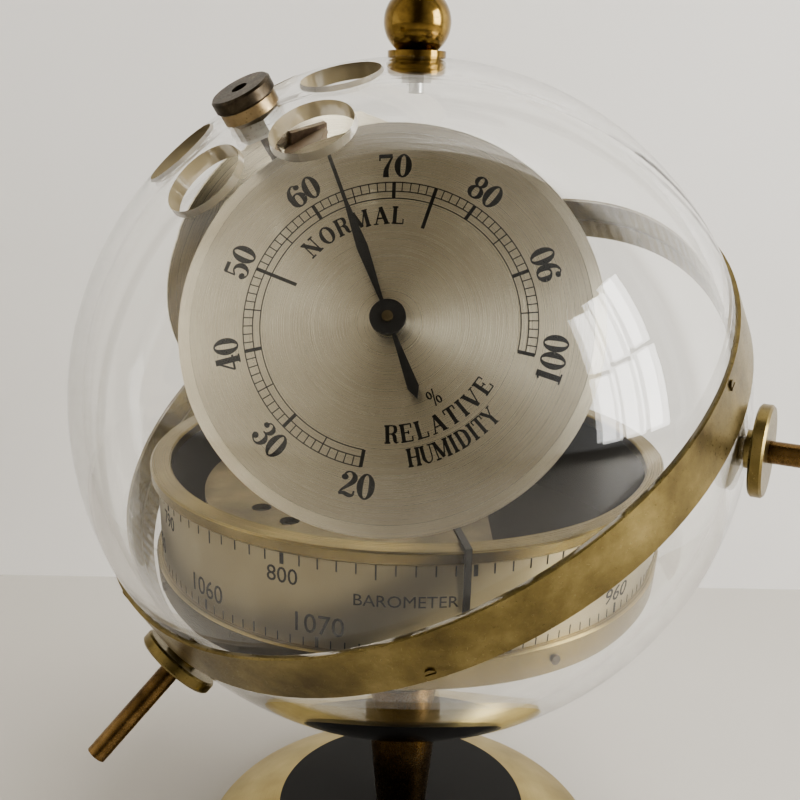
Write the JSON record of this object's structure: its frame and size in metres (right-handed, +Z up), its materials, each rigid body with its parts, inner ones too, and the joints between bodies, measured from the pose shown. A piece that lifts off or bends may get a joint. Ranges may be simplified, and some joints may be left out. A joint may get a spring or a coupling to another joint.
{
  "type": "desk weather globe",
  "caption": "Clear sphere on a small brass stand, with a barometer drum inside and two tilted dials above it, a brass ring round its split and radial rods.",
  "frame": {"origin": "centre of the felt under the base", "axes": "+Z up along the stem, +X to the right as seen from the front, +Y away from the front"},
  "size_m": [0.1575, 0.1666, 0.1963],
  "materials": {
    "brass": "aged satin",
    "dark_brass": "dark patina",
    "black_paint": "satin black",
    "cast_weight": "rough",
    "felt": "matt",
    "steel": "satin",
    "clear": "clear gloss",
    "dark_metal": "satin",
    "plug_brass": "satin",
    "scale_print": "satin print",
    "capsule_metal": "satin",
    "movement_brass": "satin",
    "bracket_brown": "satin",
    "dial_metal": "brushed in circles",
    "case_metal": "satin",
    "coil_metal": "satin",
    "arbor_brass": "satin"
  },
  "bodies": {
    "globe": {"aneroid_capsule": "capsule_metal", "ball_collar": "brass", "ball_nut": "steel", "ball_pin": "steel", "base_felt": "felt", "base_inlay": "black_paint", "base_nut": "steel", "base_shell": "brass", "base_weight": "cast_weight", "bracket_nut": "steel", "dial_bracket": "bracket_brown", "drum_floor": "dark_metal", "drum_nut": "steel", "drum_post": "dark_brass", "drum_wall": "dark_metal", "equator_ring": "brass", "hygro_case": "case_metal", "hygro_coil": "coil_metal", "hygro_dial": "dial_metal", "lower_bridge": "steel", "lower_hemisphere": "clear", "lower_rim": "brass", "movement_plate": "movement_brass", "pillar_1": "steel", "pillar_2": "steel", "pillar_3": "steel", "plug_cap": "dark_metal", "plug_collar": "plug_brass", "plug_nut": "steel", "rim_screws": "dark_metal", "ring_screw_1": "dark_metal", "ring_screw_2": "dark_metal", "ring_screw_3": "dark_metal", "ring_screw_4": "dark_metal", "ring_screw_5": "dark_metal", "ring_screw_6": "dark_metal", "rod_1": "brass", "rod_2": "brass", "rod_3": "brass", "rod_flange_1": "brass", "rod_flange_2": "brass", "rod_flange_3": "brass", "scale_strip": "scale_print", "spring_bridge": "steel", "stem": "dark_brass", "thermo_case": "case_metal", "thermo_coil": "coil_metal", "thermo_dial": "dial_metal", "tie_rod": "steel", "top_ball": "brass", "top_bezel": "brass", "upper_hemisphere": "clear"},
    "baro_hand": {"baro_arbor": "steel", "baro_pointer": "black_paint"},
    "baro_sector": {"sector": "movement_brass", "sector_arbor": "steel"},
    "hygro_hand": {"hygro_arbor": "arbor_brass", "hygro_needle": "black_paint"},
    "thermo_hand": {"thermo_arbor": "arbor_brass", "thermo_needle": "black_paint"}
  },
  "joints": [
    {"name": "baro_pointer_turn", "type": "hinge", "parent": "globe", "child": "baro_hand", "pos_m": [0, 0, 0.1034], "axis": [0, 0, 1], "range_deg": [-350, 0]},
    {"name": "baro_sector_turn", "type": "hinge", "parent": "globe", "child": "baro_sector", "pos_m": [-0.01125, 0.01949, 0.0899], "axis": [0, 0, 1], "range_deg": [0, 43.75]},
    {"name": "hygro_needle_turn", "type": "hinge", "parent": "globe", "child": "hygro_hand", "pos_m": [-0.0041, -0.0367, 0.1376], "axis": [-0.0777, -0.8884, 0.4524], "range_deg": [-123, 149]},
    {"name": "thermo_needle_turn", "type": "hinge", "parent": "globe", "child": "thermo_hand", "pos_m": [-0.0243, 0.0279, 0.1394], "axis": [-0.6165, 0.7092, 0.342], "range_deg": [-130, 130]}
  ],
  "couplings": [
    {"joint": "baro_pointer_turn", "follows": "baro_sector_turn", "ratio": -8}
  ]
}
